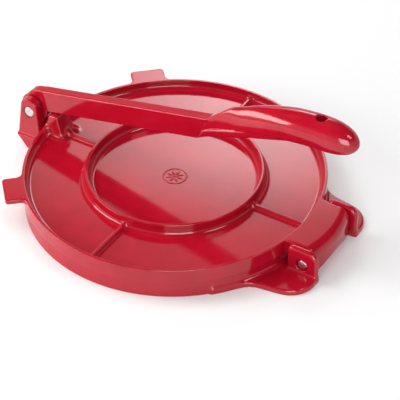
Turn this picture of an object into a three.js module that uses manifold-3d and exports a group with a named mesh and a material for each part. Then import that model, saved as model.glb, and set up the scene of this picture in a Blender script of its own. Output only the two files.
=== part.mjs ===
// A round cast lever press: a base plate, a hinged lid that presses food flat on it, and a lever that
// bears down on the lid. Millimetres, +Z up. While it is built, the plates' common axis is Z, the table
// is z = 0, the lever's pivot is on the -X side and the lid's hinge is on the +X side.
import * as THREE from "three";
import { mergeVertices } from "three/addons/utils/BufferGeometryUtils.js";
import Module from "manifold-3d";

const wasm = await Module();
wasm.setup();

// ---------------------------------------------------------------- driving dimensions
// Plates
const plateRadius = 125; // lid's rim at its top edge
const sideDraft = 2; // how much smaller both castings are where they meet
const footInset = 0.6; // of the base's foot inside the rim
const baseHeight = 13.2;
const baseFloor = 5.7; // thickness of the base's pressing plate
const baseSkirt = 5; // wall round the base's hollow underside
const lidHeight = 14;
const lidFloor = 6;
const rimWidth = 2.6;
const footFillet = 4; // where a wall or rib stands on the lid's floor
const plateGap = 0.4; // between the pressing faces when closed

// Stiffening ribs on the lid
const ringRadius = 72.2; // middle of the ring rib
const ringWidth = 2.6;
const ringHeight = 9.8; // above the lid's floor
const spokeHeight = 3.6;
const spokeTop = 2.6;
const spokeFoot = 8;
const spokeCount = 4;

// Finger tabs on the lid's rim, by their angle from the lever's side
const tabWidth = 29;
const tabReach = 14.3; // beyond the rim
const tabThickness = 4.3;
const tabCorner = 3;
const nearTabAngle = 42.8;
const farTabAngle = 47.2;

// Pins and their fits
const pinRadius = 4.8;
const pinChamfer = 0.6;
const pinInset = 0.4; // of a pin's end below the ear's face
const pinClearance = 0.3;
const sideClearance = 0.4; // between a knuckle and the ears beside it

// Lid's hinge
const hingeOut = 14; // from the rim to the pin's axis
const tableClearance = 0.4; // under the knuckle
const knuckleWidth = 58.2;
const knuckleRadius = 12.4;
const knuckleShoulder = 6; // from the pin's axis back to where the flat top ends
const hingeEarThickness = 5.5;
const hingeEarBack = 13; // from the pin's axis towards the plates
const hingeEarFront = 13.5;
const hingeEarRise = 0.4; // above the rim
const hingeEarBackCorner = 6;
const hingeEarFrontCorner = 4.5;
const pocketClearance = 1;
const lobeRadius = 22; // round feet outside the hinge's ears
const lobeThickness = 5;
const lobeBack = 8; // lobe's centre behind the pin's axis
const lobeOut = 3; // lobe's centre outside the ear's outer face

// Lever's pivot
const pivotOut = 13; // from the rim to the pin's axis
const pivotRise = 10.9; // pin's axis above the rim
const lugWidth = 27;
const lugEnd = 13.4; // beyond the pin's axis at the top
const lugFoot = 3.5; // beyond the pin's axis at the table
const lugEdge = 1.2; // height of the upright edge above the slanting underside
const leverEarThickness = 7.7;
const leverEarRadius = 8.2; // round top
const leverEarTop = 4.8; // top's centre above the pin's axis
const leverEarFootBack = 12.9; // from the pin's axis at the lug
const leverEarFootFront = 10.4;

// Lever
const leverAngle = 12.25; // rise of the closed lever's bar, degrees
const leverKnuckleWidth = 7.8;
const leverKnuckleRadius = 13.2;
const crownRadius = 14; // bar's round top corner over the knuckle
const crownOut = 8; // corner's centre from the pin's axis, along the bar
const barWidth = 9.2;
const barHeight = 20.6;
const barDrop = 1.95; // bar's lower edge below the pin's axis
const barShoulder = 1; // from the knuckle to where the bar's full width starts
const barCorner = 5;
const barOverlap = 3.4; // of the bar into the grip

// Handle, an egg-shaped grip bent along an arc
const gripStart = 173.6; // from the pin's axis, along the bar
const gripStartRise = 6.4; // above the pin's axis, across the bar
const gripSlope = 25.9; // steeper than the bar where it starts, degrees
const gripBend = 176; // radius of its arc
const gripLength = 143.7;
const gripHeight = 28;
const gripWidth = 25.4;
const gripSwell = 0.68; // share of the length over which it swells
const gripRounding = 0.78; // share of the length where the round end starts
const hangHoleRadius = 4.5;
const hangHoleFromTip = 31.5;

// Nose on the lid that the lever bears on
const noseWidth = 18;
const noseInset = 0.6; // from the rim's outer edge
const noseLean = 3.4; // how far its outer face leans inwards
const noseTop = 9; // length of its top
const noseTail = 5; // length of the slope down to the floor
const noseGap = 0.5; // below the closed lever

// Edges and draft
const rimEdge = 0.9; // rounding of the rim's outer top edge
const wallDraft = 1; // lean of the rim's and the ring's walls over their height
const ringEdge = 0.5;
const spokeEdge = 0.6;
const barEndSlant = 0.45; // share of the grip's slope that the bar's end follows
const weldDepth = 0.5; // how far joined bodies run into each other
const partingEdge = 0.8; // height of the bevel where the plates meet
const hollowFlare = 0.6; // how much the hollow underside widens at the table
const cutPast = 1; // how far a cutter runs past the face it opens
const barrelEnd = 345; // degrees round the hinge pin where the knuckle's outer end takes over

// Facets
const roundSteps = 72; // sides of a full turn on the plates
const smallSteps = 32; // sides of a full turn on pins, holes and knuckles
const cornerSteps = 5; // steps of a round corner
const filletSteps = 4;
const crownSteps = 8; // steps of a quarter turn on the knuckles' outer ends
const earSteps = 12; // steps of the lever ears' round tops
const barrelSteps = 14; // steps of the lid's knuckle round its pin
const gripStations = 20;
const gripCrowding = 1.6; // draws the grip's stations closer towards its tip
const gripSides = 24;

// ---------------------------------------------------------------- places that follow
const radians = THREE.MathUtils.degToRad;
const partingRadius = plateRadius - sideDraft;
const baseFootRadius = plateRadius - footInset;
const lidBottom = baseHeight + plateGap;
const lidTop = lidBottom + lidHeight;
const lidFloorTop = lidBottom + lidFloor;
const hingeX = plateRadius + hingeOut;
const hingeHeight = knuckleRadius + tableClearance;
const pivotX = -(plateRadius + pivotOut);
const pivotZ = lidTop + pivotRise;
const hingeEarInner = knuckleWidth / 2 + sideClearance;
const hingeEarOuter = hingeEarInner + hingeEarThickness;
const leverEarInner = leverKnuckleWidth / 2 + sideClearance;
const leverEarOuter = leverEarInner + leverEarThickness;
const holeRadius = pinRadius + pinClearance;
const barStart = leverKnuckleRadius + barShoulder;

// ---------------------------------------------------------------- solids
// A closed geometry as a manifold solid, its shared vertices merged.
function solid(geometry) {
  const bare = geometry.clone();
  bare.deleteAttribute("normal");
  bare.deleteAttribute("uv");
  const merged = mergeVertices(bare, 1e-4);
  return new wasm.Manifold(
    new wasm.Mesh({
      numProp: 3,
      vertProperties: new Float32Array(merged.getAttribute("position").array),
      triVerts: new Uint32Array(merged.index.array),
    }),
  );
}

function geometryOf(manifold) {
  const mesh = manifold.getMesh();
  const geometry = new THREE.BufferGeometry();
  geometry.setAttribute("position", new THREE.BufferAttribute(mesh.vertProperties, mesh.numProp));
  geometry.setIndex(new THREE.BufferAttribute(mesh.triVerts, 1));
  return geometry;
}

function joined(solids) {
  return solids.reduce((whole, next) => whole.add(next));
}

// A profile of [radius, z] points turned round Z, its outside on the right. It runs from the axis back
// to the axis, or closes on itself.
function turned(profile) {
  const points = profile.map(([radius, z]) => new THREE.Vector2(radius, z));
  return new THREE.LatheGeometry(points, roundSteps).rotateX(Math.PI / 2);
}

// A flat outline in X and Z, given thickness along Y between two faces.
function upright(outline, fromY, toY) {
  const flat = new THREE.ExtrudeGeometry(outline, { depth: toY - fromY, bevelEnabled: false });
  return flat.rotateX(Math.PI / 2).translate(0, toY, 0);
}

// A flat outline in X and Y, given height along Z.
function standing(outline, fromZ, toZ) {
  const flat = new THREE.ExtrudeGeometry(outline, { depth: toZ - fromZ, bevelEnabled: false });
  return flat.translate(0, 0, fromZ);
}

// A round bar along Y, through a point in X and Z.
function crossBar(radius, length, x, z) {
  return new THREE.CylinderGeometry(radius, radius, length, smallSteps).translate(x, 0, z);
}

// Points of an arc round a centre, in degrees, both ends included.
function arc(centreX, centreY, radiusX, radiusY, fromDegrees, toDegrees, steps) {
  return Array.from({ length: steps + 1 }, (unused, step) => {
    const angle = radians(fromDegrees + ((toDegrees - fromDegrees) * step) / steps);
    return [centreX + radiusX * Math.cos(angle), centreY + radiusY * Math.sin(angle)];
  });
}

// A round corner of an outline, a quarter turn or less.
function corner(centreX, centreY, radius, fromDegrees, toDegrees) {
  return arc(centreX, centreY, radius, radius, fromDegrees, toDegrees, cornerSteps);
}

function outlineOf(points) {
  return new THREE.Shape(points.map(([x, y]) => new THREE.Vector2(x, y)));
}

// An upright slab on one side of the middle, -1 or 1, between two distances from it.
function onSide(side, inner, outer, outline) {
  const [fromY, toY] = [side * inner, side * outer].sort((a, b) => a - b);
  return upright(outline, fromY, toY);
}

// ---------------------------------------------------------------- base
function basePlate() {
  return turned([
    [0, 0],
    [baseFootRadius, 0],
    [partingRadius + partingEdge / 2, baseHeight - partingEdge],
    [partingRadius - partingEdge / 2, baseHeight],
    [0, baseHeight],
  ]);
}

function baseHollow() {
  const radius = partingRadius - baseSkirt;
  const depth = baseHeight - baseFloor;
  const fillet = arc(radius - footFillet, depth - footFillet, footFillet, footFillet, 0, 90, filletSteps);
  return turned([[0, -cutPast], [radius + hollowFlare, -cutPast], ...fillet, [0, depth]]);
}

// One of the two upright ears that hold the lid's hinge pin, by its side, -1 or 1.
function hingeEar(side) {
  const back = hingeX - hingeEarBack;
  const front = hingeX + hingeEarFront;
  const top = lidTop + hingeEarRise;
  const outline = outlineOf([
    [back, 0],
    [front, 0],
    ...corner(front - hingeEarFrontCorner, top - hingeEarFrontCorner, hingeEarFrontCorner, 0, 90),
    ...corner(back + hingeEarBackCorner, top - hingeEarBackCorner, hingeEarBackCorner, 90, 180),
  ]);
  return onSide(side, hingeEarInner, hingeEarOuter, outline);
}

// The round foot outside one hinge ear.
function hingeLobe(side) {
  const disc = new THREE.CylinderGeometry(lobeRadius, lobeRadius, lobeThickness, smallSteps);
  disc.rotateX(Math.PI / 2);
  return disc.translate(hingeX - lobeBack, side * (hingeEarOuter + lobeOut), lobeThickness / 2);
}

// The space between the hinge's ears, which the lid's knuckle turns in.
function hingePocket() {
  const back = hingeX - knuckleRadius - pocketClearance;
  const front = hingeX + hingeEarFront + lobeRadius;
  const width = 2 * hingeEarInner;
  return new THREE.BoxGeometry(front - back, width, 2 * lidTop).translate((front + back) / 2, 0, 0);
}

// The solid lug that carries the lever's ears. Its underside slants up to its outer end.
function leverLug() {
  const inner = -(partingRadius - baseSkirt);
  const outline = outlineOf([
    [inner, 0],
    [inner, baseHeight],
    [pivotX - lugEnd, baseHeight],
    [pivotX - lugEnd, baseHeight - lugEdge],
    [pivotX - lugFoot, 0],
  ]);
  return upright(outline, -lugWidth / 2, lugWidth / 2);
}

// One of the two tapered ears that hold the lever's pin.
function leverEar(side) {
  const outline = outlineOf([
    [pivotX - leverEarFootBack, baseHeight - weldDepth],
    [pivotX + leverEarFootFront, baseHeight - weldDepth],
    ...arc(pivotX, pivotZ + leverEarTop, leverEarRadius, leverEarRadius, 0, 180, earSteps),
  ]);
  return onSide(side, leverEarInner, leverEarOuter, outline);
}

function base() {
  const cast = joined([basePlate(), leverLug(), hingeLobe(-1), hingeLobe(1)].map(solid))
    .subtract(solid(hingePocket()))
    .subtract(solid(baseHollow()));
  const ears = [hingeEar(-1), hingeEar(1), leverEar(-1), leverEar(1)].map(solid);
  return joined([cast, ...ears])
    .subtract(solid(crossBar(holeRadius, 2 * plateRadius, hingeX, hingeHeight)))
    .subtract(solid(crossBar(holeRadius, 2 * plateRadius, pivotX, pivotZ)));
}

// ---------------------------------------------------------------- lid
function lidBlank() {
  return turned([
    [0, lidBottom],
    [partingRadius - partingEdge / 2, lidBottom],
    [partingRadius + partingEdge / 2, lidBottom + partingEdge],
    [plateRadius, lidTop - rimEdge],
    [plateRadius - rimEdge / 3, lidTop - rimEdge / 3],
    [plateRadius - rimEdge, lidTop],
    [0, lidTop],
  ]);
}

// The recess inside the rim, down to the lid's floor, with a fillet at its foot.
function lidRecess() {
  const wall = plateRadius - rimWidth;
  const foot = wall - wallDraft;
  return turned([
    [0, lidFloorTop],
    ...arc(foot - footFillet, lidFloorTop + footFillet, footFillet, footFillet, -90, 0, filletSteps),
    [wall, lidTop + cutPast],
    [0, lidTop + cutPast],
  ]);
}

// The ring rib round the middle, with a fillet on each side of its foot. Its section closes on itself.
function ringRib() {
  const inner = ringRadius - ringWidth / 2;
  const outer = ringRadius + ringWidth / 2;
  const top = lidFloorTop + ringHeight;
  const filletZ = lidFloorTop + footFillet;
  const section = [
    [inner - wallDraft - footFillet, lidFloorTop - weldDepth],
    [outer + wallDraft + footFillet, lidFloorTop - weldDepth],
    ...arc(outer + wallDraft + footFillet, filletZ, footFillet, footFillet, -90, -180, filletSteps),
    [outer, top - ringEdge],
    [outer - ringEdge, top],
    [inner + ringEdge, top],
    [inner, top - ringEdge],
    ...arc(inner - wallDraft - footFillet, filletZ, footFillet, footFillet, 0, -90, filletSteps),
  ];
  return turned([...section, section[0]]);
}

// One low straight rib from the ring to the rim, along +X before it is turned.
function spoke() {
  const section = outlineOf([
    [-spokeFoot / 2, -weldDepth],
    [spokeFoot / 2, -weldDepth],
    [spokeFoot / 2, 0],
    [spokeTop / 2 + spokeEdge, spokeHeight - spokeEdge],
    [spokeTop / 2, spokeHeight],
    [-spokeTop / 2, spokeHeight],
    [-spokeTop / 2 - spokeEdge, spokeHeight - spokeEdge],
    [-spokeFoot / 2, 0],
  ]);
  const length = plateRadius - rimWidth / 2 - ringRadius;
  const bar = new THREE.ExtrudeGeometry(section, { depth: length, bevelEnabled: false });
  return bar.rotateX(Math.PI / 2).rotateZ(Math.PI / 2).translate(ringRadius, 0, lidFloorTop);
}

// A flat finger tab flush with the rim's top, pointing along +X before it is turned.
function fingerTab() {
  const root = plateRadius - rimWidth / 2;
  const tip = plateRadius + tabReach;
  const half = tabWidth / 2;
  const outline = outlineOf([
    [root, -half],
    ...corner(tip - tabCorner, -half + tabCorner, tabCorner, -90, 0),
    ...corner(tip - tabCorner, half - tabCorner, tabCorner, 0, 90),
    [root, half],
  ]);
  return standing(outline, lidTop - tabThickness, lidTop);
}

// The wide knuckle: flat on top, round at its outer end and round the pin.
function lidKnuckle() {
  const shoulder = hingeX - knuckleShoulder;
  const inner = partingRadius - rimWidth - hingeOut / 2;
  const outer = hingeX + knuckleRadius;
  const outline = outlineOf([
    [inner, lidTop],
    [inner, lidBottom],
    [hingeX - knuckleRadius, lidBottom],
    ...arc(hingeX, hingeHeight, knuckleRadius, knuckleRadius, 180, barrelEnd, barrelSteps),
    ...arc(shoulder, hingeHeight, outer - shoulder, lidTop - hingeHeight, 0, 90, crownSteps),
  ]);
  return upright(outline, -knuckleWidth / 2, knuckleWidth / 2);
}

// The closed lever's lower edge at a place along X.
function leverUnderside(x) {
  const tilt = radians(leverAngle);
  return pivotZ + (x - pivotX) * Math.tan(tilt) - barDrop / Math.cos(tilt);
}

// The raised nose that the lever bears on, sloping down to the lid's floor inside.
function nose() {
  const outer = -(plateRadius - noseInset);
  const topStart = outer + noseLean;
  const topEnd = topStart + noseTop;
  const outline = outlineOf([
    [outer, lidTop - rimEdge],
    [outer + rimWidth + wallDraft, lidFloorTop - weldDepth],
    [topEnd + noseTail, lidFloorTop - weldDepth],
    [topEnd + noseTail, lidFloorTop + spokeHeight],
    [topEnd, leverUnderside(topEnd) - noseGap],
    [topStart, leverUnderside(topStart) - noseGap],
  ]);
  return upright(outline, -noseWidth / 2, noseWidth / 2);
}

function lid() {
  const tabs = [180 + nearTabAngle, 180 - farTabAngle].map((angle) => fingerTab().rotateZ(radians(angle)));
  const spokes = Array.from({ length: spokeCount }, (unused, index) =>
    spoke().rotateZ((2 * Math.PI * index) / spokeCount),
  );
  const blank = joined([lidBlank(), lidKnuckle(), ...tabs].map(solid)).subtract(solid(lidRecess()));
  return joined([blank, ...[ringRib(), ...spokes, nose()].map(solid)])
    .subtract(solid(crossBar(holeRadius, 2 * knuckleWidth, hingeX, hingeHeight)));
}

// ---------------------------------------------------------------- lever
// The lever is built with its pivot's axis through the origin and its bar along +X, then tilted.
function leverBar() {
  const low = -barDrop;
  const high = low + barHeight;
  const end = gripStart + barOverlap;
  const outline = outlineOf([
    ...corner(barStart + barCorner, low + barCorner, barCorner, 180, 270),
    [end, low],
    [end - barHeight * Math.tan(radians(gripSlope)) * barEndSlant, high],
    [barStart, high],
  ]);
  return upright(outline, -barWidth / 2, barWidth / 2);
}

function leverKnuckle() {
  const high = barHeight - barDrop;
  const outline = outlineOf([
    [crownOut - crownRadius, 0],
    [0, -barDrop],
    [barStart + barCorner, -barDrop],
    [barStart + barCorner, high],
    ...arc(crownOut, high - crownRadius, crownRadius, crownRadius, 90, 180, crownSteps),
  ]);
  const half = leverKnuckleWidth / 2;
  const disc = crossBar(leverKnuckleRadius, leverKnuckleWidth, 0, 0);
  return solid(upright(outline, -half, half)).add(solid(disc));
}

// Share of the way from 0 to 1 along a smooth step.
function smoothStep(share) {
  const held = Math.min(Math.max(share, 0), 1);
  return held * held * (3 - 2 * held);
}

// The grip is a lathed bar, swelled from the neck to its egg-shaped end, then bent along its arc.
function gripStation(share) {
  const swell = smoothStep(share / gripSwell);
  const pastEnd = Math.max(share - gripRounding, 0) / (1 - gripRounding);
  const round = Math.sqrt(Math.max(1 - pastEnd * pastEnd, 0));
  const slope = radians(gripSlope) - (share * gripLength) / gripBend;
  return {
    along: gripStart + gripBend * (Math.sin(radians(gripSlope)) - Math.sin(slope)),
    up: gripStartRise + gripBend * (Math.cos(slope) - Math.cos(radians(gripSlope))),
    slope,
    halfHeight: (round * (barHeight + (gripHeight - barHeight) * swell)) / 2,
    halfWidth: (round * (barWidth + (gripWidth - barWidth) * swell)) / 2,
  };
}

function grip() {
  const sides = Array.from({ length: gripStations }, (unused, index) => [
    1,
    1 - (1 - index / gripStations) ** gripCrowding,
  ]);
  const profile = [[0, 0], ...sides, [0, 1]];
  const geometry = new THREE.LatheGeometry(
    profile.map(([radius, share]) => new THREE.Vector2(radius, share)),
    gripSides,
  );
  const points = geometry.getAttribute("position");
  for (let index = 0; index < points.count; index += 1) {
    const station = gripStation(points.getY(index));
    const out = points.getX(index) * station.halfHeight;
    points.setXYZ(
      index,
      station.along - Math.sin(station.slope) * out,
      points.getZ(index) * station.halfWidth,
      station.up + Math.cos(station.slope) * out,
    );
  }
  return geometry;
}

// The hole to hang it up by, square to the grip's arc.
function hangHole() {
  const station = gripStation(1 - hangHoleFromTip / gripLength);
  const drill = new THREE.CylinderGeometry(hangHoleRadius, hangHoleRadius, 2 * gripHeight, smallSteps);
  return drill.rotateX(Math.PI / 2).rotateY(-station.slope).translate(station.along, 0, station.up);
}

function lever() {
  return joined([solid(leverBar()), leverKnuckle(), solid(grip())])
    .subtract(solid(hangHole()))
    .subtract(solid(crossBar(holeRadius, 2 * barWidth, 0, 0)));
}

// ---------------------------------------------------------------- pins
// A plain steel pin along Y with chamfered ends.
function pin(length) {
  const half = length / 2;
  return new THREE.LatheGeometry(
    [
      new THREE.Vector2(0, -half),
      new THREE.Vector2(pinRadius - pinChamfer, -half),
      new THREE.Vector2(pinRadius, -half + pinChamfer),
      new THREE.Vector2(pinRadius, half - pinChamfer),
      new THREE.Vector2(pinRadius - pinChamfer, half),
      new THREE.Vector2(0, half),
    ],
    smallSteps,
  );
}

// ---------------------------------------------------------------- assembly
const enamel = { color: 0xb0142a, roughness: 0.22, metalness: 0 };
const steel = { color: 0xc9c8c4, roughness: 0.35, metalness: 1 };

const press = new THREE.Group();

function place(name, geometry, finish, parent = press) {
  geometry.computeVertexNormals();
  const mesh = new THREE.Mesh(geometry, new THREE.MeshStandardMaterial(finish));
  mesh.name = name;
  parent.add(mesh);
  return mesh;
}

place("base_plate", geometryOf(base()), enamel);
place("press_lid", geometryOf(lid()), enamel);
place("hinge_pin", pin(2 * (hingeEarOuter - pinInset)), steel).position.set(hingeX, 0, hingeHeight);
place("lever_pin", pin(2 * (leverEarOuter - pinInset)), steel).position.set(pivotX, 0, pivotZ);

const leverGroup = new THREE.Group();
leverGroup.position.set(pivotX, 0, pivotZ);
leverGroup.rotation.y = -radians(leverAngle);
press.add(leverGroup);
place("press_lever", geometryOf(lever()), enamel, leverGroup);

// The part's origin is on the table, under the middle of the closed press.
const extent = new THREE.Box3().setFromObject(press, true);
press.position.x = -(extent.min.x + extent.max.x) / 2;

export default press;
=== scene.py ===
"""The looks of a cast lever press: glossy red enamelled castings and bright steel pins.

The castings are described in millimetres by distance functions, so that every wall can stand on its
floor in a fillet and every edge can be rounded, as a casting's are. The plates' common axis is Z and the
table is z = 0. Each description is then turned into a mesh in metres, in the frame's own place.
"""

import math

import bpy
import numpy as np
from mathutils import Matrix, Vector


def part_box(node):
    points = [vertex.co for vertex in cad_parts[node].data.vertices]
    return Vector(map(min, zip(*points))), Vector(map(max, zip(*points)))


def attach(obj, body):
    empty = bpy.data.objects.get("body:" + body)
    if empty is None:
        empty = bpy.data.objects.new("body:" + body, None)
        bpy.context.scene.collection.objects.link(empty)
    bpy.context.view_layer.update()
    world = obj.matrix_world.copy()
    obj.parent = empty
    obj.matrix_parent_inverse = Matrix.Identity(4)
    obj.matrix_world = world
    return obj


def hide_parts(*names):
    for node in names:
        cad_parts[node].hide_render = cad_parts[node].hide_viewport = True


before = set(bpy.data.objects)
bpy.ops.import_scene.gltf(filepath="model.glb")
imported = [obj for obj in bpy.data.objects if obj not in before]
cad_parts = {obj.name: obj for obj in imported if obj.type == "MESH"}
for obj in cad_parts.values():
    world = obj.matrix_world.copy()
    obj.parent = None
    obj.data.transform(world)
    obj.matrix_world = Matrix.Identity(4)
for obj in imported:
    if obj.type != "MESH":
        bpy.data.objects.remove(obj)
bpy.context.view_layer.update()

MM = 0.001


# ------------------------------------------------------------------ places taken from the frame
def middle(node):
    """A node's centre, in millimetres."""
    low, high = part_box(node)
    return (low + high) / 2 / MM


def size(node):
    low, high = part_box(node)
    return (high - low) / MM


PLATE_RADIUS = size("press_lid").y / 2
HINGE_OUT = 14.0  # from the rim to the hinge pin's axis
AXIS_X = middle("hinge_pin").x - HINGE_OUT - PLATE_RADIUS

HINGE_X = PLATE_RADIUS + HINGE_OUT
HINGE_Z = middle("hinge_pin").z
PIVOT_X = middle("lever_pin").x - AXIS_X
PIVOT_Z = middle("lever_pin").z
PIN_RADIUS = size("hinge_pin").z / 2

# Heights of the plates
BASE_TOP = 13.2
LID_BOTTOM = 13.6
LID_FLOOR = 19.6
LID_TOP = 27.6
DRAFT = 2.0  # how much smaller the castings are where they meet
FOOT_INSET = 0.6

# Ribs
RIM_WIDTH = 2.6
FLOOR_FILLET = 4.0
RING_RADIUS = 72.2
RING_HALF = 1.3
RING_TOP = LID_FLOOR + 9.8
SPOKE_HALF = 1.5
SPOKE_TOP = LID_FLOOR + 3.6
WALL_LEAN = 0.11  # a rib's wall leans out this much per mm down

# Finger tabs
TAB_HALF = 14.5
TAB_REACH = 15.6
TAB_THICKNESS = 4.3
TAB_ANGLES = (180 + 42.8, 180 - 47.2)

# Hinge
KNUCKLE_HALF = 29.1
KNUCKLE_RADIUS = 12.4
KNUCKLE_BOW = 95.0  # plan radius of the knuckle's outer end
KNUCKLE_EDGE = 8.0  # rounding between its top and its outer end
KNUCKLE_START = 100.0  # well inside the rim
EAR_INNER = 29.5
EAR_OUTER = 35.0
EAR_BACK = HINGE_X - 13.0
EAR_FRONT = HINGE_X + 13.5
EAR_TOP = LID_TOP + 0.4
POCKET_BACK = HINGE_X - KNUCKLE_RADIUS - 1.0
LOBE_RADIUS = 22.0
LOBE_TOP = 5.0
LOBE_SWEEP = 24.0  # plan fillet between a foot and the skirt

# Lever's pivot
LUG_HALF = 13.5
LEVER_EAR_INNER = 4.3
LEVER_EAR_OUTER = 12.0
LEVER_EAR_RADIUS = 8.2
LEVER_EAR_RISE = 4.8

# Lever, with the pivot at its origin and the bar along U
LEVER_TILT = math.radians(12.25)
BAR_HALF = 4.6
BAR_LOW = -1.95
BAR_HIGH = 18.65
GRIP_START = 173.6
GRIP_RISE = 6.4
GRIP_SLOPE = math.radians(25.9)
GRIP_BEND = 176.0
GRIP_LENGTH = 143.7
BAR_END_LOW = (165.5, BAR_LOW)
BAR_END_HIGH = (181.0, BAR_HIGH)
LIP_HEIGHT = 7.2
LIP_PROUD = 0.9

# The nose under the lever
NOSE_HALF = 9.0
NOSE_START = 0.6 - PLATE_RADIUS
NOSE_LEAN = 3.4
NOSE_TOP = 9.0
NOSE_TAIL = 6.0
NOSE_GAP = 0.5
NOSE_FILLET = 6.0


# ------------------------------------------------------------------ distance functions
def both(a, b, radius=0.0):
    """What is inside both shapes, with the edge between them rounded."""
    outside = np.hypot(np.maximum(a + radius, 0), np.maximum(b + radius, 0))
    return np.minimum(np.maximum(a, b), -radius) + outside


def either(a, b, radius=0.0):
    """What is inside one shape or the other, with a fillet between them."""
    inside = np.hypot(np.maximum(radius - a, 0), np.maximum(radius - b, 0))
    return np.maximum(np.minimum(a, b), radius) - inside


def without(a, b, radius=0.0):
    """What is inside a and not in b, with the edge of the cut rounded."""
    return both(a, -b, radius)


def between(value, low, high):
    return np.maximum(low - value, value - high)


def line_side(across, along, start, end):
    """Distance to the right of the line from start to end, in a plane."""
    run, rise = end[0] - start[0], end[1] - start[1]
    return ((across - start[0]) * rise - (along - start[1]) * run) / math.hypot(run, rise)


def smooth(share):
    held = np.clip(share, 0, 1)
    return held * held * (3 - 2 * held)


# ------------------------------------------------------------------ lid
def lever_underside(x):
    """Height of the closed lever's lower edge at a place along X."""
    return PIVOT_Z + (x - PIVOT_X) * math.tan(LEVER_TILT) + BAR_LOW / math.cos(LEVER_TILT)


def rim_side(rho, z):
    """The lid's drafted outer side."""
    slope = DRAFT / (LID_TOP - LID_BOTTOM)
    return (rho - PLATE_RADIUS - (z - LID_TOP) * slope) / math.hypot(1, slope)


def tab_field(x, y, rho, z, angle):
    turn = math.radians(angle)
    out = x * math.cos(turn) + y * math.sin(turn)
    side = np.abs(y * math.cos(turn) - x * math.sin(turn))
    plan = both(side - TAB_HALF, out - PLATE_RADIUS - TAB_REACH, 3)
    plan = either(np.maximum(plan, 100 - out), rho - PLATE_RADIUS, 5)
    slab = both(z - LID_TOP, LID_TOP - TAB_THICKNESS - z, 1.2)
    return both(plan, slab, 1.0)


def knuckle_field(x, y, rho, z):
    """The barrel on the hinge pin and the block that joins it to the lid.

    The block reaches down to the pin's height, which is 0.4 mm into the base's top face.
    """
    bowed = HINGE_X + KNUCKLE_RADIUS - KNUCKLE_BOW
    end = np.where(x > bowed, np.hypot(x - bowed, y) - KNUCKLE_BOW, x - bowed - KNUCKLE_BOW)
    block = both(end, z - LID_TOP, KNUCKLE_EDGE)
    barrel = np.hypot(x - HINGE_X, z - HINGE_Z) - KNUCKLE_RADIUS
    shape = np.minimum(np.maximum(block, HINGE_Z - z), np.maximum(barrel, end))
    shape = np.maximum(shape, KNUCKLE_START - x)
    block = both(shape, np.abs(y) - KNUCKLE_HALF, 1.6)
    plan = either(rho - PLATE_RADIUS, np.maximum(np.abs(y) - KNUCKLE_HALF, KNUCKLE_START - x), 3)
    root = both(np.maximum(plan, x - HINGE_X + 12), between(z, LID_BOTTOM + 0.3, LID_TOP), 0.8)
    return np.minimum(block, root)


def nose_outside(x, z):
    """Distance in front of the nose's outer face, which leans inwards."""
    top_start = NOSE_START + NOSE_LEAN
    return line_side(-x, z, (-NOSE_START, LID_TOP - 0.9), (-top_start, nose_height(top_start)))


def nose_height(x):
    return lever_underside(x) - NOSE_GAP


def nose_field(x, y, z):
    """The nose that the closed lever rests on, sloping down to the floor inside."""
    top_start = NOSE_START + NOSE_LEAN
    top_end = top_start + NOSE_TOP
    foot = top_end + NOSE_TAIL
    top = line_side(x, z, (top_start, nose_height(top_start)), (top_end, nose_height(top_end)))
    tail = line_side(x, z, (top_end, nose_height(top_end)), (foot, LID_FLOOR))
    shape = both(both(-top, nose_outside(x, z), 2.5), -tail, 3)
    shape = np.maximum(shape, LID_FLOOR - 1 - z)
    return both(shape, np.abs(y) - NOSE_HALF - (LID_TOP - z) * 0.05, 2.5)


def lid_field(x, y, z):
    rho = np.hypot(x, y)
    body = both(both(rim_side(rho, z), LID_BOTTOM - z, 0.6), z - LID_TOP, 0.5)
    for angle in TAB_ANGLES:
        body = np.minimum(body, tab_field(x, y, rho, z, angle))
    body = np.minimum(body, knuckle_field(x, y, rho, z))
    wall = rho - (PLATE_RADIUS - RIM_WIDTH - (LID_TOP - z) * WALL_LEAN)
    body = without(body, both(wall, LID_FLOOR - z, FLOOR_FILLET), 0.5)
    ring = np.abs(rho - RING_RADIUS) - RING_HALF - (RING_TOP - z) * WALL_LEAN
    ring = np.maximum(both(ring, z - RING_TOP, 0.8), LID_FLOOR - 2 - z)
    body = either(body, ring, FLOOR_FILLET)
    for along, side in ((x, y), (-x, y), (y, x), (-y, x)):
        spoke = both(np.abs(side) - SPOKE_HALF - (SPOKE_TOP - z) * WALL_LEAN, z - SPOKE_TOP, 0.8)
        spoke = np.maximum(spoke, between(along, RING_RADIUS, PLATE_RADIUS - RIM_WIDTH / 2))
        body = either(body, np.maximum(spoke, LID_FLOOR - 2 - z), 2.2)
    body = either(body, nose_field(x, y, z), NOSE_FILLET)
    near_nose = np.minimum(NOSE_HALF + 2 * NOSE_FILLET - np.abs(y), -x)
    body = np.maximum(body, np.minimum(near_nose, np.maximum(rim_side(rho, z), nose_outside(x, z))))
    return without(body, np.hypot(x - HINGE_X, z - HINGE_Z) - PIN_RADIUS - 0.3, 0.5)


# ------------------------------------------------------------------ base
def lug_field(x, y, z):
    """The lug under the lever's ears, its underside slanting up to its outer end."""
    end = PIVOT_X - 13.4
    under = -line_side(x, z, (PIVOT_X - 3.5, 0), (end, BASE_TOP - 1.2))
    shape = both(both(end - x, under, 0.8), z - BASE_TOP, 1.0)
    shape = np.maximum(shape, x + 118)
    return shape, np.abs(y) - LUG_HALF


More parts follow.
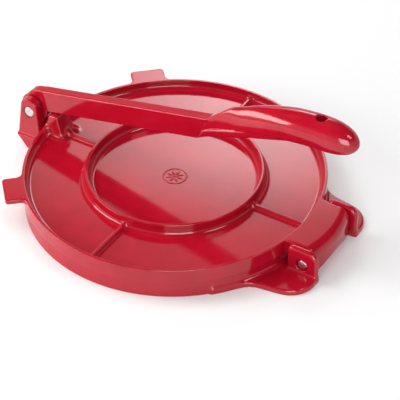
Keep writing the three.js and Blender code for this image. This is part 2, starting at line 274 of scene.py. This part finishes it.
def lever_ear_field(x, y, z):
    """The pair of tapered ears that hold the lever's pin."""
    top = PIVOT_Z + LEVER_EAR_RISE
    back = line_side(x, z, (PIVOT_X - 12.9, BASE_TOP), (PIVOT_X - LEVER_EAR_RADIUS, top))
    front = -line_side(x, z, (PIVOT_X + 10.4, BASE_TOP), (PIVOT_X + LEVER_EAR_RADIUS, top))
    legs = np.maximum(np.maximum(-back, -front), z - top)
    outline = np.minimum(legs, np.hypot(x - PIVOT_X, z - top) - LEVER_EAR_RADIUS)
    outline = np.maximum(outline, BASE_TOP - 2 - z)
    return both(outline, between(np.abs(y), LEVER_EAR_INNER, LEVER_EAR_OUTER), 1.3)


def hinge_ear_field(x, y, z):
    outline = both(both(EAR_BACK - x, z - EAR_TOP, 5), both(x - EAR_FRONT, z - EAR_TOP, 8))
    outline = np.maximum(outline, -z)
    return both(outline, between(np.abs(y), EAR_INNER, EAR_OUTER), 2.2)


def base_field(x, y, z):
    rho = np.hypot(x, y)
    slope = (DRAFT - FOOT_INSET) / BASE_TOP
    side = (rho - PLATE_RADIUS + DRAFT - (BASE_TOP - z) * slope) / math.hypot(1, slope)
    body = both(both(side, -z, 0.6), z - BASE_TOP, 0.6)
    lug, lug_side = lug_field(x, y, z)
    plan = both(either(side, lug_side, 3), lug, 1.0)
    body = np.minimum(body, both(np.maximum(plan, x + 110), between(z, 0, BASE_TOP), 0.8))
    lobe = np.hypot(x - HINGE_X + 8, np.abs(y) - EAR_OUTER - 3) - LOBE_RADIUS
    lobe = either(lobe, np.maximum(rho - PLATE_RADIUS, 60 - x), LOBE_SWEEP)
    lobe = both(both(lobe, z - LOBE_TOP, 1.8), -z, 0.6)
    body = either(body, np.maximum(lobe, 90 - x), 3.5)
    body = np.maximum(body, -z)
    pocket = np.maximum(np.abs(y) - EAR_INNER, POCKET_BACK - x)
    body = without(body, pocket, 0.6)
    body = either(body, hinge_ear_field(x, y, z), 2.5)
    body = np.maximum(body, -pocket)
    body = np.maximum(body, -z)
    body = either(body, lever_ear_field(x, y, z), 2.2)
    hollow = both(rho - 118, z - 7.5, 4)
    body = without(body, hollow, 0.8)
    body = without(body, np.hypot(x - HINGE_X, z - HINGE_Z) - PIN_RADIUS - 0.3, 0.6)
    return without(body, np.hypot(x - PIVOT_X, z - PIVOT_Z) - PIN_RADIUS - 0.3, 0.6)


# ------------------------------------------------------------------ lever
def grip_side(u, v):
    """Distance into the grip from the slanted line where the bar ends."""
    return line_side(u, v, BAR_END_LOW, BAR_END_HIGH)


def grip_field(u, v, w):
    """A grip bent along an arc: as flat as the bar where it starts, egg-shaped further out, with a lip."""
    across = u - (GRIP_START + GRIP_BEND * math.sin(GRIP_SLOPE))
    up = v - (GRIP_RISE - GRIP_BEND * math.cos(GRIP_SLOPE))
    share = (GRIP_SLOPE - np.arctan2(-across, up)) * GRIP_BEND / GRIP_LENGTH
    out = np.hypot(across, up) - GRIP_BEND
    swell = smooth(share / 0.68)
    square = 1 - smooth(share / 0.35)
    half_height = 10.1 + 3.9 * swell
    half_width = BAR_HALF + 8.1 * swell
    power = 2 + 2 * square
    lean = 0.3 * smooth(share / 0.12) * (1 - smooth((share - 0.3) / 0.35))
    wide = half_width * (1 - lean * np.clip(out / half_height, -1, 1))
    tall = half_height + 6 * square
    past = np.maximum(share - 0.78, 0) / 0.22
    reach = (np.abs(out) / tall) ** power + (np.abs(w) / wide) ** power + past**2.5
    body = (reach ** (1 / power) - 1) * np.minimum(half_height, half_width)
    above = half_height + 3 * smooth((share - 0.15) / 0.2) - 3 * (1 - smooth((share + 0.05) / 0.27))
    below = 3.6 + 6.4 * np.sin(np.clip((share + 0.077) / 0.36, 0, 1) * math.pi / 2) + 3.9 * swell
    body = both(both(body, out - above, 1.3), -below - 3 * smooth((share - 0.3) / 0.2) - out, 1.3)
    fade = smooth((share - 0.35) / 0.35)
    side = half_width * (1 + lean * 0.6) * (1 - (np.maximum(below - 4, 0) / tall) ** power) ** (1 / power)
    lip = between(out, 1.5 * fade - below, LIP_HEIGHT - below)
    lip = both(np.abs(w) - side - LIP_PROUD + 4 * fade, lip, 2.2)
    lip = both(np.maximum(lip, (share - 0.7) * GRIP_LENGTH), -grip_side(u, v), 2.2)
    return np.minimum(np.maximum(body, -grip_side(u, v)), lip)


def lever_field(u, v, w):
    disc = np.hypot(u, v) - 13.2
    crown = np.minimum(np.hypot(u - 8, v - 4.65) - 14, np.maximum(8 - u, v - BAR_HIGH))
    crown = np.maximum(np.maximum(crown, BAR_LOW - v), u - 20)
    bar = both(both(14.2 - u, BAR_LOW - v, 5), v - BAR_HIGH)
    bar = np.maximum(bar, grip_side(u, v) - 0.5)
    outline = np.minimum(np.minimum(disc, crown), bar)
    half = 3.9 + (BAR_HALF - 3.9) * smooth((u - 11.5) / 3.5)
    body = both(outline, np.abs(w) - half, 1.3)
    body = np.minimum(body, grip_field(u, v, w))
    hole_slope = GRIP_SLOPE - (GRIP_LENGTH - 31.5) / GRIP_BEND
    hole_u = GRIP_START + GRIP_BEND * (math.sin(GRIP_SLOPE) - math.sin(hole_slope))
    hole = np.hypot((u - hole_u) * math.cos(hole_slope) + (v - 24) * math.sin(hole_slope), w) - 4.3
    body = without(body, np.maximum(hole, -v), 1.0)
    return without(body, np.hypot(u, v) - PIN_RADIUS - 0.3, 0.5)


# ------------------------------------------------------------------ meshing
def steps(*stretches):
    """Grid lines through stretches of (end, spacing), after a first stretch that is its start alone."""
    lines = [float(stretches[0])]
    for end, spacing in stretches[1:]:
        count = max(1, round((end - lines[-1]) / spacing))
        lines.extend(np.linspace(lines[-1], end, count + 1)[1:])
    return np.array(lines)


def polar(radius, degrees, z):
    angle = np.radians(degrees)
    return radius * np.cos(angle), radius * np.sin(angle), z


def straight(x, y, z):
    return x, y, z


def lines_between(values, points):
    """Where the surface crosses each grid edge along each axis: edge indices, places and directions."""
    for axis in range(3):
        low = [slice(None)] * 3
        high = [slice(None)] * 3
        low[axis] = slice(None, -1)
        high[axis] = slice(1, None)
        first, last = values[tuple(low)], values[tuple(high)]
        where = np.argwhere((first < 0) != (last < 0))
        ends = where.copy()
        ends[:, axis] += 1
        start, stop = values[tuple(where.T)], values[tuple(ends.T)]
        share = (start / (start - stop))[:, None]
        places = points[tuple(where.T)] * (1 - share) + points[tuple(ends.T)] * share
        yield axis, where, places, start < 0


def surface_net(field, place, a, b, c, wrap=False):
    """A closed mesh of the field's surface: one vertex for each grid cell it passes through.

    With wrap, the first axis is a radius from 0 and the second is a full turn.
    """
    points = np.stack(np.broadcast_arrays(*place(*np.meshgrid(a, b, c, indexing="ij"))), -1)
    values = field(points[..., 0], points[..., 1], points[..., 2])
    cells = np.array(values.shape) - 1
    quads, owners, places = [], [], []
    for axis, where, at, leaving in lines_between(values, points):
        if wrap:
            keep = (where[:, 1] < cells[1]) | (axis == 1)
            keep &= (where[:, 0] > 0) | (axis == 0)
            where, at, leaving = where[keep], at[keep], leaving[keep]
        one, two = (axis + 1) % 3, (axis + 2) % 3
        corners = []
        for back_one, back_two in ((1, 1), (0, 1), (0, 0), (1, 0)):
            cell = where.copy()
            cell[:, one] -= back_one
            cell[:, two] -= back_two
            if wrap:
                cell[:, 1] %= cells[1]
            corners.append(np.ravel_multi_index(cell.T, cells))
        quad = np.stack(corners, 1)
        quad[~leaving] = quad[~leaving][:, ::-1]
        quads.append(quad)
        for corner in corners:
            owners.append(corner)
            places.append(at)
    owners = np.concatenate(owners)
    places = np.concatenate(places)
    used, index = np.unique(owners, return_inverse=True)
    vertices = np.stack([np.bincount(index, places[:, i]) for i in range(3)], 1)
    vertices /= np.bincount(index)[:, None]
    faces = [tuple(face) for face in np.searchsorted(used, np.concatenate(quads)).tolist()]
    if wrap:
        faces, vertices = close_axis(values, points, cells, used, faces, vertices)
    return settle(field, vertices), faces


def close_axis(values, points, cells, used, faces, vertices):
    """A fan on the axis at each height where the surface crosses it."""
    column = values[0, 0]
    for k in np.flatnonzero((column[:-1] < 0) != (column[1:] < 0)):
        share = column[k] / (column[k] - column[k + 1])
        centre = points[0, 0, k] * (1 - share) + points[0, 0, k + 1] * share
        ring = [np.ravel_multi_index((0, j, k), cells) for j in range(cells[1])]
        ring = np.searchsorted(used, ring).tolist()
        vertices = np.vstack([vertices, centre])
        hub = len(vertices) - 1
        upward = column[k] < 0
        for here, after in zip(ring, ring[1:] + ring[:1]):
            faces.append((hub, here, after) if upward else (hub, after, here))
    return faces, vertices


def slope_of(field, vertices, step=0.02):
    columns = []
    for axis in range(3):
        shift = np.zeros(3)
        shift[axis] = step
        ahead, behind = vertices + shift, vertices - shift
        columns.append((field(*ahead.T) - field(*behind.T)) / (2 * step))
    return np.stack(columns, 1)


def settle(field, vertices, rounds=4, longest=0.5):
    """Moves the vertices onto the surface."""
    for _ in range(rounds):
        slope = slope_of(field, vertices)
        steepness = np.maximum((slope**2).sum(1), 0.05)
        move = -(field(*vertices.T) / steepness)[:, None] * slope
        length = np.maximum(np.linalg.norm(move, axis=1, keepdims=True), 1e-9)
        vertices = vertices + move * np.minimum(1, longest / length)
    return vertices


def casting(name, field, vertices, faces, to_row):
    """A mesh object of a casting, shaded by the true slope of its surface."""
    normals = slope_of(field, vertices, 0.15)
    normals /= np.maximum(np.linalg.norm(normals, axis=1, keepdims=True), 1e-9)
    turn = np.array(to_row.to_3x3().normalized())
    placed = np.array([to_row @ Vector(vertex) for vertex in vertices])
    mesh = bpy.data.meshes.new(name)
    mesh.from_pydata(placed.tolist(), [], faces)
    mesh.validate()
    mesh.polygons.foreach_set("use_smooth", [True] * len(mesh.polygons))
    mesh.normals_split_custom_set_from_vertices((normals @ turn.T).tolist())
    piece = bpy.data.objects.new(name, mesh)
    bpy.context.scene.collection.objects.link(piece)
    return piece


COARSE = 1.0


def turn_lines(*zones):
    """Grid lines in degrees round a full turn: 1.5 apart, and closer inside zones (from, to, spacing)."""
    lines = {0.0, 360.0}
    for low, high, spacing in zones:
        count = round((high - low) / (spacing * COARSE))
        lines.update(np.linspace(low, high, count + 1).round(6))
    lines = sorted(line % 360 for line in lines)
    lines = sorted(set(lines) | {360.0})
    full = [lines[0]]
    for line in lines[1:]:
        count = max(1, math.ceil((line - full[-1]) / (1.5 * COARSE) - 1e-6))
        full.extend(np.linspace(full[-1], line, count + 1)[1:])
    return np.array(full)


def lid_mesh():
    fine = 0.65 * COARSE
    radii = steps(0, (60, 6), (64.5, 1.5), (80, fine), (104, 3), (128, fine), (153, 1.2 * fine))
    tab_sides = [angle + side * 6.6 for angle in TAB_ANGLES for side in (-1, 1)]
    spokes = [(-4, 4, 0.4), (86, 94, 0.4), (173, 187, 0.4), (266, 274, 0.4)]
    knuckle_sides = [(-15.5, -10, 0.4), (10, 15.5, 0.4)]
    turns = turn_lines(*spokes, *knuckle_sides, *((side - 1.8, side + 1.8, 0.4) for side in tab_sides))
    heights = steps(-0.4, (13, 1.2 * fine), (30.4, 0.8 * fine), (42, 1.2 * fine))
    return surface_net(lid_field, polar, radii, turns, heights, wrap=True)


def base_mesh():
    fine = 0.65 * COARSE
    radii = steps(0, (108, 6), (112, 1.5), (127, fine), (160, 1.1 * fine))
    turns = turn_lines((-28, -9, 0.4), (9, 28, 0.4), (172.5, 187.5, 0.35))
    heights = steps(-0.7, (14.2, 0.8 * fine), (29, 1.1 * fine), (53, 1.2 * fine))
    return surface_net(base_field, polar, radii, turns, heights, wrap=True)


def lever_mesh():
    fine = 0.75 * COARSE
    along, up, across = steps(-15, (316, 1.2 * fine)), steps(-15, (41, fine)), steps(-14.2, (14.2, fine))
    return surface_net(lever_field, straight, along, up, across)


# The lever's field has its width third; the frame has it second.
lever_to_row = Matrix(
    (
        (math.cos(LEVER_TILT) * MM, -math.sin(LEVER_TILT) * MM, 0, (PIVOT_X + AXIS_X) * MM),
        (0, 0, -MM, 0),
        (math.sin(LEVER_TILT) * MM, math.cos(LEVER_TILT) * MM, 0, PIVOT_Z * MM),
        (0, 0, 0, 1),
    )
)
plates_to_row = Matrix.Translation((AXIS_X * MM, 0, 0)) @ Matrix.Scale(MM, 4)


# ------------------------------------------------------------------ camera
def aim_camera():
    """A long lens looking down on the near side, from the height a tabletop picture is taken at."""
    azimuth, elevation, roll = math.radians(32.37), math.radians(39.81), math.radians(-0.55)
    distance, aside, below = 1.5038, 0.0204, -0.0046
    flat = math.cos(elevation)
    back = Vector((math.sin(azimuth) * flat, -math.cos(azimuth) * flat, math.sin(elevation)))
    right = Vector((math.cos(azimuth), math.sin(azimuth), 0))
    up = back.cross(right)
    place = back * distance + right * aside + up * below + Vector((AXIS_X * MM, 0, 0))
    rolled_right = right * math.cos(roll) + up * math.sin(roll)
    rolled_up = up * math.cos(roll) - right * math.sin(roll)
    data = bpy.data.cameras.new("camera")
    data.sensor_width = 36
    data.lens = 163.6
    data.clip_end = 50
    camera = bpy.data.objects.new("camera", data)
    turn = Matrix((rolled_right, rolled_up, back)).transposed().to_4x4()
    camera.matrix_world = Matrix.Translation(place) @ turn
    bpy.context.scene.collection.objects.link(camera)
    bpy.context.scene.camera = camera


# ------------------------------------------------------------------ materials
def new_material(name):
    material = bpy.data.materials.new(name)
    material.use_nodes = True
    nodes = material.node_tree.nodes
    return nodes, material.node_tree.links, nodes["Principled BSDF"], material


def enamel():
    """Deep red gloss enamel on cast metal: a slight orange peel, and pooling that deepens the colour."""
    nodes, links, shader, material = new_material("enamel")
    place = nodes.new("ShaderNodeTexCoord")
    mottle = nodes.new("ShaderNodeTexNoise")
    mottle.inputs["Scale"].default_value = 55
    mottle.inputs["Detail"].default_value = 3
    tint = nodes.new("ShaderNodeValToRGB")
    tint.color_ramp.elements[0].position = 0.3
    tint.color_ramp.elements[0].color = (0.40, 0.0035, 0.016, 1)
    tint.color_ramp.elements[1].position = 0.7
    tint.color_ramp.elements[1].color = (0.47, 0.005, 0.022, 1)
    peel = nodes.new("ShaderNodeTexNoise")
    peel.inputs["Scale"].default_value = 520
    peel.inputs["Detail"].default_value = 2
    grain = nodes.new("ShaderNodeTexNoise")
    grain.inputs["Scale"].default_value = 1500
    gloss = nodes.new("ShaderNodeMapRange")
    gloss.inputs["To Min"].default_value = 0.06
    gloss.inputs["To Max"].default_value = 0.13
    bump = nodes.new("ShaderNodeBump")
    bump.inputs["Strength"].default_value = 0.35
    bump.inputs["Distance"].default_value = 0.00006
    for noise in (mottle, peel, grain):
        links.new(place.outputs["Object"], noise.inputs["Vector"])
    links.new(mottle.outputs["Fac"], tint.inputs["Fac"])
    links.new(tint.outputs["Color"], shader.inputs["Base Color"])
    links.new(grain.outputs["Fac"], gloss.inputs["Value"])
    links.new(gloss.outputs["Result"], shader.inputs["Roughness"])
    links.new(peel.outputs["Fac"], bump.inputs["Height"])
    links.new(bump.outputs["Normal"], shader.inputs["Normal"])
    shader.inputs["IOR"].default_value = 1.52
    return material


def bright_steel():
    """Turned and tumbled steel: fine rings, soft mottling and a few dull spots."""
    nodes, links, shader, material = new_material("steel")
    place = nodes.new("ShaderNodeTexCoord")
    stretch = nodes.new("ShaderNodeMapping")
    stretch.inputs["Scale"].default_value = (1, 14, 1)
    lines = nodes.new("ShaderNodeTexNoise")
    lines.inputs["Scale"].default_value = 420
    lines.inputs["Detail"].default_value = 4
    tint = nodes.new("ShaderNodeValToRGB")
    tint.color_ramp.elements[0].color = (0.50, 0.49, 0.47, 1)
    tint.color_ramp.elements[1].color = (0.78, 0.77, 0.75, 1)
    gloss = nodes.new("ShaderNodeMapRange")
    gloss.inputs["To Min"].default_value = 0.22
    gloss.inputs["To Max"].default_value = 0.42
    bump = nodes.new("ShaderNodeBump")
    bump.inputs["Strength"].default_value = 0.3
    bump.inputs["Distance"].default_value = 0.00004
    links.new(place.outputs["Object"], stretch.inputs["Vector"])
    links.new(stretch.outputs["Vector"], lines.inputs["Vector"])
    links.new(lines.outputs["Fac"], tint.inputs["Fac"])
    links.new(tint.outputs["Color"], shader.inputs["Base Color"])
    links.new(lines.outputs["Fac"], gloss.inputs["Value"])
    links.new(gloss.outputs["Result"], shader.inputs["Roughness"])
    links.new(lines.outputs["Fac"], bump.inputs["Height"])
    links.new(bump.outputs["Normal"], shader.inputs["Normal"])
    shader.inputs["Metallic"].default_value = 1
    return material


def paper_white():
    nodes, links, shader, material = new_material("white_table")
    shader.inputs["Base Color"].default_value = (0.82, 0.82, 0.825, 1)
    shader.inputs["Roughness"].default_value = 0.75
    shader.inputs["Emission Color"].default_value = (1, 1, 1, 1)
    shader.inputs["Emission Strength"].default_value = 0.1
    return material


# ------------------------------------------------------------------ small pieces
def turned_pin(name, node, body, material, recess=0.0, dome=0.0):
    """A steel pin along Y with rounded-off ends: domed, or faced off with a centre mark."""
    centre, half = middle(node), size(node).y / 2 - recess
    radius = size(node).z / 2
    sides = 64
    profile = [(0, -0.6), (radius * 0.14, -0.45), (radius * 0.3, 0.06), (radius * 0.7, 0.03)]
    profile += [(radius - 0.75, 0)]
    if dome:
        profile = [(r, dome * math.sqrt(1 - (r / radius) ** 2)) for r in np.linspace(0, radius - 0.75, 8)]
    profile += [(radius - 0.4, -0.12), (radius - 0.1, -0.45), (radius, -0.8)]
    rows = [(r, -half - rise) for r, rise in profile[1:]] + [(r, half + rise) for r, rise in profile[:0:-1]]
    vertices = [(0, -half - profile[0][1], 0)]
    for r, y in rows:
        for side in range(sides):
            angle = 2 * math.pi * side / sides
            vertices.append((r * math.cos(angle), y, r * math.sin(angle)))
    vertices.append((0, half + profile[0][1], 0))
    last = len(vertices) - 1
    faces = []
    for side in range(sides):
        after = (side + 1) % sides
        faces.append((0, 1 + side, 1 + after))
        for row in range(len(rows) - 1):
            low, high = 1 + row * sides, 1 + (row + 1) * sides
            faces.append((low + side, high + side, high + after, low + after))
        top = 1 + (len(rows) - 1) * sides
        faces.append((top + side, last, top + after))
    mesh = bpy.data.meshes.new(name)
    placed = [tuple((Vector(vertex) + centre) * MM) for vertex in vertices]
    mesh.from_pydata(placed, [], faces)
    mesh.polygons.foreach_set("use_smooth", [True] * len(mesh.polygons))
    mesh.materials.append(material)
    piece = bpy.data.objects.new(name, mesh)
    bpy.context.scene.collection.objects.link(piece)
    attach(piece, body)
    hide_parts(node)
    return piece


def emblem_field(x, y, z):
    """A raised ring round an eight-petalled rosette, standing on the lid's floor."""
    rho = np.hypot(x, y)
    ring = np.hypot(rho - 9.6, z - LID_FLOOR + 0.25) - 0.75
    turn = np.mod(np.arctan2(y, x) + math.pi / 8, math.pi / 4) - math.pi / 8
    out, side = rho * np.cos(turn), rho * np.sin(turn)
    petal = np.sqrt(((out - 4.6) / 2.9) ** 2 + (side / 1.15) ** 2 + ((z - LID_FLOOR) / 0.5) ** 2)
    petal = (petal - 1) * 0.5
    boss = np.sqrt((rho / 1.5) ** 2 + ((z - LID_FLOOR) / 0.55) ** 2)
    shape = np.minimum(np.minimum(ring, petal), (boss - 1) * 0.55)
    return np.maximum(shape, LID_FLOOR - 0.3 - z)


def emblem_mesh():
    fine = 0.22 * COARSE
    across = steps(-10.8, (10.8, fine))
    heights = steps(LID_FLOOR - 0.7, (LID_FLOOR + 0.9, fine))
    return surface_net(emblem_field, straight, across, across, heights)


# ------------------------------------------------------------------ studio
def toward(azimuth, elevation, distance):
    """A place seen from the press at an azimuth from -Y towards +X and an elevation, in degrees."""
    turn, rise = math.radians(azimuth), math.radians(elevation)
    flat = distance * math.cos(rise)
    return Vector((flat * math.sin(turn), -flat * math.cos(turn), distance * math.sin(rise)))


def softbox(name, place, width, height, radiance, mirrored=True, lights=True):
    """A rectangular light that faces the press. One that isn't mirrored gives light but no reflection."""
    data = bpy.data.lights.new(name, "AREA")
    data.shape = "RECTANGLE"
    data.size = width
    data.size_y = height
    data.energy = radiance * math.pi * width * height
    lamp = bpy.data.objects.new(name, data)
    lamp.location = place
    lamp.rotation_euler = (-place).to_track_quat("-Z", "Y").to_euler()
    lamp.visible_glossy = mirrored
    lamp.visible_diffuse = lights
    lamp.visible_camera = False
    bpy.context.scene.collection.objects.link(lamp)


def ramp(nodes, links, value, stops):
    """A curve of brightness through (place, brightness) stops."""
    curve = nodes.new("ShaderNodeValToRGB")
    curve.color_ramp.interpolation = "LINEAR"
    elements = curve.color_ramp.elements
    while len(elements) < len(stops):
        elements.new(0.5)
    for element, (place, brightness) in zip(elements, stops):
        element.position = place
        element.color = (brightness, brightness, brightness, 1)
    links.new(value, curve.inputs["Fac"])
    return curve.outputs["Color"]


def glowing_card(name, place, width, height, radiance, across, upward):
    """A lit diffuser whose brightness fades across and up it."""
    nodes, links, shader, material = new_material(name)
    spread = nodes.new("ShaderNodeTexCoord")
    parts = nodes.new("ShaderNodeSeparateXYZ")
    product = nodes.new("ShaderNodeMath")
    product.operation = "MULTIPLY"
    total = nodes.new("ShaderNodeMath")
    total.operation = "MULTIPLY"
    total.inputs[1].default_value = radiance
    links.new(spread.outputs["UV"], parts.inputs["Vector"])
    links.new(ramp(nodes, links, parts.outputs["X"], across), product.inputs[0])
    links.new(ramp(nodes, links, parts.outputs["Y"], upward), product.inputs[1])
    links.new(product.outputs["Value"], total.inputs[0])
    links.new(total.outputs["Value"], shader.inputs["Emission Strength"])
    shader.inputs["Emission Color"].default_value = (1, 1, 1, 1)
    shader.inputs["Base Color"].default_value = (0, 0, 0, 1)
    shader.inputs["Roughness"].default_value = 1
    mesh = bpy.data.meshes.new(name)
    half, rise = width / 2, height / 2
    corners = [(-half, -rise, 0), (half, -rise, 0), (half, rise, 0), (-half, rise, 0)]
    mesh.from_pydata(corners, [], [(0, 1, 2, 3)])
    layer = mesh.uv_layers.new(name="spread")
    for loop, corner in zip(layer.data, ((0, 0), (1, 0), (1, 1), (0, 1))):
        loop.uv = corner
    mesh.materials.append(material)
    card = bpy.data.objects.new(name, mesh)
    card.location = place
    card.rotation_euler = place.to_track_quat("-Z", "Y").to_euler()
    bpy.context.scene.collection.objects.link(card)
    card.visible_camera = False


def white_surroundings():
    """White walls low down, fading to a dark ceiling."""
    world = bpy.data.worlds.new("studio")
    world.use_nodes = True
    nodes, links = world.node_tree.nodes, world.node_tree.links
    direction = nodes.new("ShaderNodeTexCoord")
    parts = nodes.new("ShaderNodeSeparateXYZ")
    fade = nodes.new("ShaderNodeMapRange")
    fade.interpolation_type = "SMOOTHSTEP"
    fade.inputs["From Min"].default_value = 0.15
    fade.inputs["From Max"].default_value = 0.55
    fade.inputs["To Min"].default_value = 0.8
    fade.inputs["To Max"].default_value = 0.05
    links.new(direction.outputs["Generated"], parts.inputs["Vector"])
    links.new(parts.outputs["Z"], fade.inputs["Value"])
    links.new(fade.outputs["Result"], nodes["Background"].inputs["Strength"])
    nodes["Background"].inputs["Color"].default_value = (1, 1, 1, 1)
    bpy.context.scene.world = world


# Brightness of the back diffuser, as (share of its width or height, brightness)
BACK_ACROSS = (
    (0.2, 0.2), (0.32, 0.3), (0.38, 0.45), (0.46, 0.7), (0.545, 1.0), (0.64, 1.0), (0.8, 0.5), (1.0, 0.0)
)
BACK_UPWARD = (
    (0.0, 0.0), (0.15, 1.0), (0.31, 1.0), (0.435, 0.87), (0.5, 0.68), (0.565, 0.42), (0.65, 0.14), (1.0, 0.02)
)


def studio():
    bpy.context.scene.view_settings.view_transform = "Standard"
    white_surroundings()
    mesh = bpy.data.meshes.new("table")
    mesh.from_pydata([(-6, -6, 0), (6, -6, 0), (6, 6, 0), (-6, 6, 0)], [], [(0, 1, 2, 3)])
    mesh.materials.append(paper_white())
    table = bpy.data.objects.new("table", mesh)
    bpy.context.scene.collection.objects.link(table)
    glowing_card(
        "back_diffuser",
        toward(-148, 39, 1.32),
        1.1,
        0.62,
        6.6,
        BACK_ACROSS,
        BACK_UPWARD,
    )
    softbox("left_softbox", toward(-52, 18, 1.5), 1.0, 0.45, 8.0)
    softbox("right_softbox", toward(88, 50, 1.5), 0.4, 0.4, 6.0)
    softbox("camera_side_softbox", toward(36, 18, 1.5), 0.8, 0.9, 6.5, lights=False)
    softbox("key", toward(-74, 50, 1.6), 0.7, 0.7, 6.8, mirrored=False)
    softbox("front_fill", toward(15, 35, 1.6), 0.9, 0.9, 3.4, mirrored=False)
    softbox("overhead_fill", toward(-150, 80, 1.7), 1.2, 1.2, 1.8, mirrored=False)


# ------------------------------------------------------------------ assembly
def add_casting(name, field, mesh, placing, body, material, node=None):
    piece = casting(name, field, *mesh, placing)
    piece.data.materials.append(material)
    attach(piece, body)
    if node:
        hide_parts(node)
    print(name, len(piece.data.vertices), "vertices", len(piece.data.polygons), "faces")
    return piece


aim_camera()
studio()
red = enamel()
steel = bright_steel()
add_casting("base_casting", base_field, base_mesh(), plates_to_row, "base", red, "base_plate")
add_casting("lid_casting", lid_field, lid_mesh(), plates_to_row, "lid", red, "press_lid")
add_casting("lever_casting", lever_field, lever_mesh(), lever_to_row, "lever", red, "press_lever")
add_casting("lid_emblem", emblem_field, emblem_mesh(), plates_to_row, "lid", red)
turned_pin("hinge_pin_turned", "hinge_pin", "base", steel, recess=2.2, dome=1.6)
turned_pin("lever_pin_turned", "lever_pin", "base", steel)
